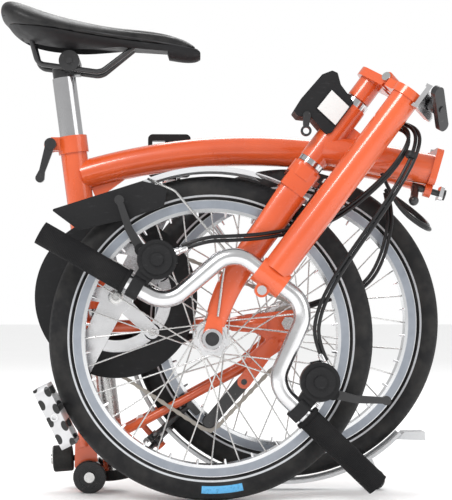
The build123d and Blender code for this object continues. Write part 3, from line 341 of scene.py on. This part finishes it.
def smooth(piece, angle):
    """Smooth shading, with edges sharper than the angle in degrees kept crisp."""
    piece.data.polygons.foreach_set("use_smooth", [True] * len(piece.data.polygons))
    weld = piece.modifiers.new("weld", "WELD")
    weld.merge_threshold = 0.000002
    edges = piece.modifiers.new("edges", "EDGE_SPLIT")
    edges.split_angle = math.radians(angle)


for finish, names in FINISHES.items():
    for name in names.split():
        dress(name, finish)


def paint(node, finish, test):
    """Another finish on those faces of a carried node whose middle passes the test, in part.py's frame."""
    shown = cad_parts[node]
    shown.data.materials.append(finish)
    index = len(shown.data.materials) - 1
    for face in shown.data.polygons:
        if test(face.center / MM - SHIFT):
            face.material_index = index


def from_line(point, centre):
    """Distance in the side view between a point and a line through centre along Y."""
    return math.hypot(point.x - centre[0], point.z - centre[1])


paint("grips", RIGHT_FOAM, lambda p: p.x > 0)
paint("seatpost", BLACK_PLASTIC, lambda p: p.z > 566)
paint("front_mudguard", BLACK_PLASTIC, lambda p: -141.6 < p.y < -138.9 and p.x < -79.5)
paint("front_mudguard", STEEL, lambda p: p.y < -141.7 or (p.y < -138.9 and p.x > -79.5))
paint("chainring", ALLOY, lambda p: p.y > -47.2 or p.y < -55.9)
paint("yoke_rollers", ALLOY, lambda p: from_line(p, (-184, 22)) < 4.1)
paint("guard_roller", ALLOY, lambda p: from_line(p, (203, 14)) < 5.7)
paint("suspension_block", STEEL, lambda p: p.x < -234.5)
paint("front_axle", BLACK_PAINT, lambda p: p.y < -150)
paint("rear_hub", CHAIN_STEEL, lambda p: p.y < -42.5)
paint("seat_clamp_lever", STEEL, lambda p: p.y > 12)


# ------------------------------------------------------------ piece helpers

def mesh_piece(name, points, faces, finish):
    """A new piece from points and faces, with its finish."""
    mesh = bpy.data.meshes.new(name)
    mesh.from_pydata([tuple(p) for p in points], [], faces)
    mesh.materials.append(finish)
    piece = bpy.data.objects.new(name, mesh)
    bpy.context.scene.collection.objects.link(piece)
    return piece


def grid_faces(rows, columns):
    """Quads over a grid of rows by columns that closes on itself both ways."""
    faces = []
    for i in range(rows):
        for j in range(columns):
            a, b = i * columns, (i + 1) % rows * columns
            k = (j + 1) % columns
            faces.append((a + j, a + k, b + k, b + j))
    return faces


def tube(name, points, radius, finish, closed=False):
    """A round tube along a smooth NURBS line."""
    curve = bpy.data.curves.new(name, "CURVE")
    curve.dimensions = "3D"
    curve.bevel_depth = radius
    curve.bevel_resolution = 5
    curve.resolution_u = 10
    curve.use_fill_caps = True
    line = curve.splines.new("NURBS")
    line.points.add(len(points) - 1)
    for point, place in zip(line.points, points):
        point.co = (*place, 1.0)
    line.order_u = 3
    line.use_endpoint_u = not closed
    line.use_cyclic_u = closed
    curve.materials.append(finish)
    piece = bpy.data.objects.new(name, curve)
    bpy.context.scene.collection.objects.link(piece)
    return piece


class Parts:
    """Small solids gathered into one mesh."""

    def __init__(self):
        self.points = []
        self.faces = []

    def add(self, points, faces):
        start = len(self.points)
        self.points += [Vector(p) for p in points]
        self.faces += [tuple(start + k for k in face) for face in faces]

    def turned(self, centre, axis, profile, sides=20):
        """A solid of revolution: profile is (distance along axis, radius) from end to end."""
        axis = Vector(axis).normalized()
        turn = axis.to_track_quat("Z", "X").to_matrix()
        rings = []
        for along, radius in profile:
            for k in range(sides):
                a = 2 * math.pi * k / sides
                local = Vector((math.cos(a) * radius, math.sin(a) * radius, along))
                rings.append(Vector(centre) + turn @ local)
        faces = []
        for i in range(len(profile) - 1):
            for k in range(sides):
                n = (k + 1) % sides
                faces.append((i * sides + k, i * sides + n, (i + 1) * sides + n, (i + 1) * sides + k))
        faces.append(tuple(reversed(range(sides))))
        faces.append(tuple(range(len(rings) - sides, len(rings))))
        self.add(rings, faces)

    def plate(self, outline, low, high, frame_at):
        """A flat plate: outline in the local xy plane of frame_at, from low to high along its z."""
        count = len(outline)
        places = [frame_at @ Vector((x, y, low)) for x, y in outline]
        places += [frame_at @ Vector((x, y, high)) for x, y in outline]
        faces = [tuple(reversed(range(count))), tuple(range(count, 2 * count))]
        for k in range(count):
            n = (k + 1) % count
            faces.append((k, n, count + n, count + k))
        self.add(places, faces)

    def piece(self, name, finish):
        return mesh_piece(name, self.points, self.faces, finish)


# ------------------------------------------------------------ tyres

def tyre(name, axle, band, body, node):
    """A tyre with a rounded casing, a smooth centre rib and sipes cut across its shoulders."""
    around, across = 528, 44
    points = []
    for i in range(around):
        turn = 2 * math.pi * i / around
        cut = i % 4 == 0
        for j in range(across):
            a = 2 * math.pi * j / across
            lateral, outward = math.sin(a), math.cos(a)
            r = TYRE_R
            if outward > 0.45:
                if 0.16 < abs(lateral) < 0.3:
                    r -= 0.0009
                elif cut and abs(lateral) >= 0.3:
                    r -= 0.0008
            if outward < -0.75:
                r *= 0.93
            skew = 0.006 * abs(lateral)
            ring = TYRE_RING + outward * r
            place = (math.cos(turn + skew) * ring, lateral * r, math.sin(turn + skew) * ring)
            points.append(axle + Vector(place))
    piece = mesh_piece(name, points, grid_faces(around, across), tyre_rubber(name + "_rubber", axle, band))
    smooth(piece, 40)
    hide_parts(node)
    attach(piece, body)


tyre("front_tyre_casing", FRONT_AXLE, 0.07, "front_wheel", "front_tyre")
tyre("rear_tyre_casing", REAR_AXLE, 0.0, "rear_wheel", "rear_tyre")


def wheel_trim(name, axle, body, half):
    """Spoke nipples at the rim, a valve, and a raised ring near each end of the hub."""
    trim = Parts()
    for k in range(SPOKES):
        a = 2 * math.pi * (k + 0.5) / SPOKES
        out = Vector((math.cos(a), 0, math.sin(a)))
        trim.turned(axle + out * 0.1572, out, [(0, 0.0013), (0.0045, 0.0018), (0.0062, 0.0019)], 8)
    out = Vector((math.cos(2.2), 0, math.sin(2.2)))
    trim.turned(axle + out * 0.133, out,
                [(0, 0.0018), (0.002, 0.0028), (0.009, 0.003), (0.0105, 0.0042), (0.031, 0.0042)], 14)
    for s in (-1, 1):
        trim.turned(axle + Vector((0, s * (half - 5) * MM, 0)), (0, s, 0),
                    [(0, 0.0175), (0.0012, 0.0182), (0.0024, 0.0182), (0.0034, 0.0172)], 40)
    piece = trim.piece(name, ALLOY)
    smooth(piece, 35)
    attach(piece, body)


wheel_trim("front_wheel_trim", FRONT_AXLE, "front_wheel", 34)
wheel_trim("rear_wheel_trim", REAR_AXLE, "rear_wheel", 41)


# ------------------------------------------------------------ chain

def chain_path():
    """The chain's closed line round ring, tensioner and sprocket, with its direction."""
    rounds = [(BRACKET, 0.084), (JOCKEY, 0.013), (REAR_AXLE, 0.027)]
    samples = []
    tangents = []
    for (c0, r0), (c1, r1) in zip(rounds, rounds[1:] + rounds[:1]):
        way = Vector((c1.x - c0.x, c1.z - c0.z))
        lean = math.asin((r0 - r1) / way.length)
        base = math.atan2(way.y, way.x) - math.pi / 2
        tangents.append(base + lean)
    line = []
    for k, (centre, radius) in enumerate(rounds):
        start, end = tangents[k - 1], tangents[k]
        while end < start:
            end += 2 * math.pi
        steps = max(2, int((end - start) * radius / 0.002))
        for i in range(steps + 1):
            a = start + (end - start) * i / steps
            line.append(Vector((centre.x + math.cos(a) * radius, centre.z + math.sin(a) * radius)))
    for a, b in zip(line, line[1:] + line[:1]):
        count = max(1, int((b - a).length / 0.002))
        samples += [a.lerp(b, i / count) for i in range(count)]
    return samples


def even_points(samples, pitch):
    """Points a whole number of pitches apart along a closed line."""
    lengths = [(b - a).length for a, b in zip(samples, samples[1:] + samples[:1])]
    total = sum(lengths)
    count = 2 * round(total / pitch / 2)
    step = total / count
    made, walked, k = [], 0.0, 0
    for i in range(count):
        goal = i * step
        while walked + lengths[k] < goal:
            walked += lengths[k]
            k += 1
        a, b = samples[k], samples[(k + 1) % len(samples)]
        made.append(a.lerp(b, (goal - walked) / lengths[k]))
    return made


def link_outline(length):
    """A link plate's waisted outline between two pins."""
    points = []
    for k in range(9):
        a = math.pi / 2 + math.pi * k / 8
        points.append((math.cos(a) * 0.0028, math.sin(a) * 0.0028))
    points.append((length / 2, -0.0019))
    for k in range(9):
        a = -math.pi / 2 + math.pi * k / 8
        points.append((length + math.cos(a) * 0.0028, math.sin(a) * 0.0028))
    points.append((length / 2, 0.0019))
    return points


def chain():
    """The chain's side plates, pins and rollers, one link to a pitch."""
    pins = even_points(chain_path(), LINK_PITCH)
    links = Parts()
    middle = (-45 + SHIFT.y) * MM
    for k, (a, b) in enumerate(zip(pins, pins[1:] + pins[:1])):
        way = b - a
        along = Vector((way.x, 0, way.y)).normalized()
        up = Vector((-along.z, 0, along.x))
        place = Matrix((along, up, along.cross(up))).transposed().to_4x4()
        place.translation = Vector((a.x, middle, a.y))
        inner = 0.0016 if k % 2 else 0.0024
        for s in (-1, 1):
            low, high = sorted((s * inner, s * (inner + 0.0007)))
            links.plate(link_outline(way.length), low, high, place)
        links.turned(place.translation, (0, 1, 0), [(-0.0033, 0.0012), (0.0033, 0.0012)], 8)
        links.turned(place.translation, (0, 1, 0), [(-0.0015, 0.0024), (0.0015, 0.0024)], 12)
    piece = links.piece("chain_links", CHAIN_STEEL)
    smooth(piece, 35)
    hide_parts("chain")
    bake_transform(piece)


# ------------------------------------------------------------ saddle

def copy_of(node, name, finish):
    """A new piece with a carried node's shape and another finish."""
    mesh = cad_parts[node].data.copy()
    mesh.materials.clear()
    mesh.materials.append(finish)
    piece = bpy.data.objects.new(name, mesh)
    bpy.context.scene.collection.objects.link(piece)
    return piece


def applied(piece):
    """The piece's modifiers, made part of its mesh."""
    shape = bpy.data.meshes.new_from_object(piece.evaluated_get(bpy.context.evaluated_depsgraph_get()))
    piece.modifiers.clear()
    piece.data = shape
    return piece


def saddle():
    """The padded top, softened at its edge, with a pressed channel and a welted seam."""
    pad = copy_of("saddle_cover", "saddle_pad", SADDLE_SKIN)
    remesh = pad.modifiers.new("remesh", "REMESH")
    remesh.mode = "VOXEL"
    remesh.voxel_size = 0.0024
    remesh.use_smooth_shade = True
    soften = pad.modifiers.new("soften", "SMOOTH")
    soften.iterations = 9
    soften.factor = 0.6
    applied(pad)
    for v in pad.data.vertices:
        x, y = (v.co.x / MM - SHIFT.x), (v.co.y / MM - SHIFT.y)
        if v.normal.z > 0.3:
            run = max(0.0, 1 - abs(x + 165) / 105)
            v.co.z -= 0.0022 * math.exp(-(y / 7) ** 2) * run ** 0.5
            for s in (-1, 1):
                line = s * (0.16 * (-(x + 60)) + 8)
                v.co.z -= 0.0009 * math.exp(-((y - line) / 1.6) ** 2) * (1 if x < -70 else 0)
    finer = pad.modifiers.new("finer", "SUBSURF")
    finer.levels = finer.render_levels = 1
    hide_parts("saddle_cover")
    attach(pad, "seatpost")
    seam()


SADDLE_EDGE = [(-302, 30, 640), (-292, 55, 637), (-264, 70.5, 629), (-228, 67, 621), (-190, 50, 617.5),
               (-150, 33, 614), (-110, 23.5, 610), (-72, 18.5, 604.5), (-46, 14, 600), (-36.5, 7, 597)]


def seam():
    """The welt where the cover meets the base."""
    loop = [row(x, y, z) for x, y, z in SADDLE_EDGE] + [row(x, -y, z) for x, y, z in reversed(SADDLE_EDGE)]
    piece = tube("saddle_welt", loop, 0.0011, THREAD, closed=True)
    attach(piece, "seatpost")


# ------------------------------------------------------------ cables, along part.py's routes

RIGHT_CABLE = [(116, -172, 184), (104, -176, 210), (107, -180, 242), (124, -184, 280), (150, -188, 320),
               (182, -192, 365), (210, -193, 408), (230, -186, 446), (236, -166, 472), (222, -149, 486),
               (198, -144, 490)]
LEFT_CABLE = [(-62, -170, 322), (-34, -172, 333), (-2, -172, 334), (32, -169, 336), (64, -159, 341),
              (98, -147, 348), (134, -150, 361), (168, -164, 386), (200, -176, 416), (220, -178, 444),
              (228, -166, 466), (216, -150, 479), (194, -145, 481)]
FRAME_CABLE = [(196, -133, 422), (205, -137, 400), (220, -134, 378), (242, -122, 362), (260, -103, 355),
               (265, -80, 358), (258, -58, 370), (240, -38, 388), (214, -28, 408)]
REAR_CABLE = [(214, -28, 404), (219, -34, 376), (214, -40, 346), (205, -46, 316), (190, -50, 288),
              (164, -54, 268), (130, -60, 262), (100, -62, 250)]
CABLE_R = 0.0024


def as_mesh(piece):
    """A curve piece, turned into a mesh of the same name."""
    shape = bpy.data.meshes.new_from_object(piece.evaluated_get(bpy.context.evaluated_depsgraph_get()))
    name = piece.name
    bpy.data.objects.remove(piece)
    made = bpy.data.objects.new(name, shape)
    bpy.context.scene.collection.objects.link(made)
    return made


def cables(name, route, gap, node):
    """Two cables side by side, a gap apart, along the route."""
    for k in (0, 1):
        points = [row(*(Vector(corner) + Vector(gap) * k)) for corner in route]
        piece = tube(f"{name}_{k + 1}", points, CABLE_R, HOUSING)
        piece = as_mesh(piece)
        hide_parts(node)
        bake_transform(piece)


saddle()
chain()
cables("right_cable", RIGHT_CABLE, (5.2, 0, -1), "bar_cables")
cables("left_cable", LEFT_CABLE, (0, -1, 5.2), "bar_cables")
cables("hinge_cable", FRAME_CABLE, (2, -2, -5), "frame_cables")
cables("rear_cable", REAR_CABLE, (5, 0, -2), "frame_cables")


# ------------------------------------------------------------ lowered post, labels and small fittings

def lower_post():
    """The post's lower stretch: steel above, its rubber foot below."""
    piece = copy_of("seatpost_lower", "post_and_foot", STEEL)
    piece.data.materials.append(BLOCK_RUBBER)
    for face in piece.data.polygons:
        face.material_index = 1 if face.center.z < 0.0295 else 0
    smooth(piece, 32)
    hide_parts("seatpost_lower")
    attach(piece, "seatpost")
    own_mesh(piece)


def label():
    """The plain white plate on the luggage block."""
    plate = Parts()
    side = Matrix(((1, 0, 0), (0, 0, 1), (0, 1, 0))).to_4x4()
    corners = [row(131, 0, 530), row(155, 0, 507), row(136, 0, 482), row(111, 0, 505)]
    middle = sum(corners, Vector()) / 4
    outline = []
    for corner in corners:
        inset = corner.lerp(middle, 0.06)
        outline.append((inset.x, inset.z))
    y = (-137 + SHIFT.y) * MM
    plate.plate(outline, y - 0.0005, y + 0.0002, side)
    piece = plate.piece("carrier_label", LABEL)
    bevel = piece.modifiers.new("bevel", "BEVEL")
    bevel.width = 0.0004
    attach(piece, "front_frame")


def fittings():
    """The clip round the bar cables, and a barrel adjuster at each brake lever."""
    clip = Parts()
    profile = [(-0.004, 0.0062), (-0.003, 0.007), (0.003, 0.007), (0.004, 0.0062)]
    clip.turned(row(226, -185, 441), (0.4, 0.15, 0.9), profile, 24)
    piece = clip.piece("cable_clip", BLACK_PLASTIC)
    smooth(piece, 35)
    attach(piece, "handlepost")
    barrels = Parts()
    for at, way in ((row(-62, -170, 322), (0.85, 0, 0.35)), (row(116, -172, 184), (-0.4, 0, 0.85))):
        axis = Vector(way).normalized()
        profile = [(-0.012, 0.0044), (-0.0115, 0.0052), (-0.004, 0.0052), (-0.003, 0.0042), (0.006, 0.0042),
                   (0.008, 0.0032)]
        barrels.turned(at, axis, profile, 18)
    piece = barrels.piece("cable_barrels", ALLOY)
    smooth(piece, 35)
    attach(piece, "handlepost")


def ring_metal():
    """The chainring's bright bolts and the crank's dust cap."""
    bolts = Parts()
    for k in range(5):
        a = math.radians(CRANK_ANGLE + 72 * k)
        at = BRACKET + Vector((math.cos(a), 0, math.sin(a))) * RING_BOLTS_R
        if k:
            bolts.turned(at + Vector((0, -0.0586, 0)), (0, -1, 0),
                         [(-0.0004, 0.0052), (0.0006, 0.0046), (0.0006, 0.0026), (-0.0002, 0.0022)], 22)
    cap = [(-0.001, 0.0105), (0.0005, 0.0098), (0.0012, 0.008), (0.0012, 0.0045), (0.0002, 0.0038)]
    bolts.turned(BRACKET + Vector((0, -0.0685, 0)), (0, -1, 0), cap, 32)
    piece = bolts.piece("ring_bolts", STEEL)
    smooth(piece, 35)
    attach(piece, "crankset")


def hub_washer():
    """The bright washer behind the front axle's near nut."""
    nut = 0.0068
    face = min(point.co.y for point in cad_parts["front_axle"].data.vertices) + nut
    washer = Parts()
    washer.turned(Vector((FRONT_AXLE.x, face, FRONT_AXLE.z)), (0, -1, 0),
                  [(-0.0005, 0.0135), (0.001, 0.0128), (0.001, 0.0088), (-0.0005, 0.0085)], 36)
    piece = washer.piece("hub_washer", CHROME)
    smooth(piece, 35)
    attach(piece, "fork")


lower_post()
label()
fittings()
ring_metal()
hub_washer()


# ------------------------------------------------------------ floor, light and camera

def studio():
    """A pale floor, a white sky that reflects less than it lights, and three soft lamps."""
    bpy.ops.mesh.primitive_plane_add(size=30)
    floor = bpy.context.object
    floor.name = "floor"
    s = Shader("floor_paint")
    base = s.mix(s.noise(3, 4), rgb(0.94, 0.94, 0.94), rgb(0.97, 0.97, 0.97))
    floor.data.materials.append(s.finish(base, 0.6))
    world = bpy.data.worlds.new("studio")
    bpy.context.scene.world = world
    world.use_nodes = True
    tree = world.node_tree
    sky = tree.nodes["Background"]
    sky.inputs[0].default_value = (1, 1, 1, 1)
    seen = tree.nodes.new("ShaderNodeLightPath")
    bright = tree.nodes.new("ShaderNodeMapRange")
    tree.links.new(seen.outputs["Is Glossy Ray"], bright.inputs[0])
    bright.inputs[3].default_value = 1.0
    bright.inputs[4].default_value = 0.55
    tree.links.new(bright.outputs[0], sky.inputs[1])
    bpy.context.scene.view_settings.view_transform = "Standard"
    for name, place, size, power in (
            ("key", (-1.4, -2.4, 2.8), 1.2, 66), ("fill", (2.4, -1.6, 1.2), 2.0, 16),
            ("back", (0.4, 2.2, 2.6), 1.6, 32)):
        light = bpy.data.lights.new(name, "AREA")
        light.energy = power
        light.size = size
        lamp = bpy.data.objects.new(name, light)
        bpy.context.scene.collection.objects.link(lamp)
        lamp.location = place
        lamp.rotation_euler = (Vector((0, 0, 0.3)) - Vector(place)).to_track_quat("-Z", "Y").to_euler()


def camera():
    """A long lens level with the bicycle, two degrees round from square on."""
    data = bpy.data.cameras.new("camera")
    data.sensor_width = 36
    data.lens = 116.7
    data.shift_y = 0.1
    data.clip_end = 50
    view = bpy.data.objects.new("camera", data)
    bpy.context.scene.collection.objects.link(view)
    turn = math.radians(2)
    view.location = row(-2213 * math.sin(turn), -2213 * math.cos(turn), 259)
    view.rotation_euler = (math.radians(90), 0, -turn)
    bpy.context.scene.camera = view


studio()
camera()
